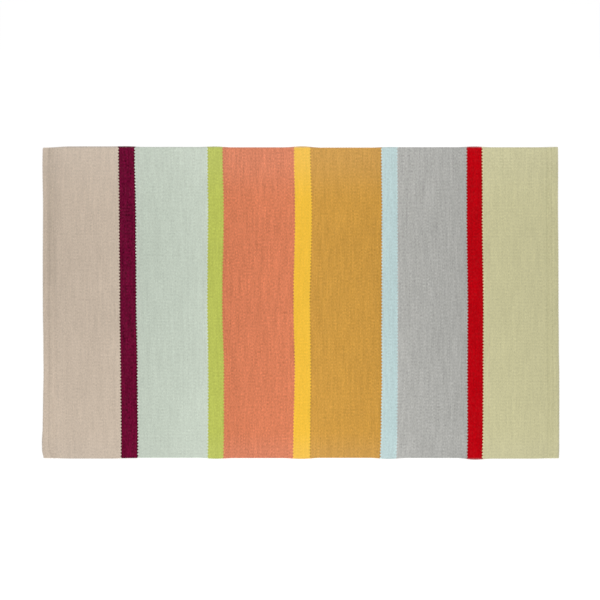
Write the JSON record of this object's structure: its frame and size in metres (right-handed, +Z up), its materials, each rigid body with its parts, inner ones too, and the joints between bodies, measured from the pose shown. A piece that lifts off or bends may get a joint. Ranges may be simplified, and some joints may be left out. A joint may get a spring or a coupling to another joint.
{
  "type": "outdoor rug",
  "caption": "Flat-woven rectangular outdoor rug with wide and narrow colour bands across it and a turned hem at each short end, lying flat.",
  "frame": {"origin": "middle of the rug's box, on the floor under it", "axes": "+X along the rug from the sand end to the sage end, +Y across it along the weft, +Z up out of the upper face"},
  "size_m": [1.5048, 0.9098, 0.0086],
  "materials": {
    "rug_cloth": "matte"
  },
  "bodies": {
    "root": {"rug": "rug_cloth"}
  },
  "joints": []
}
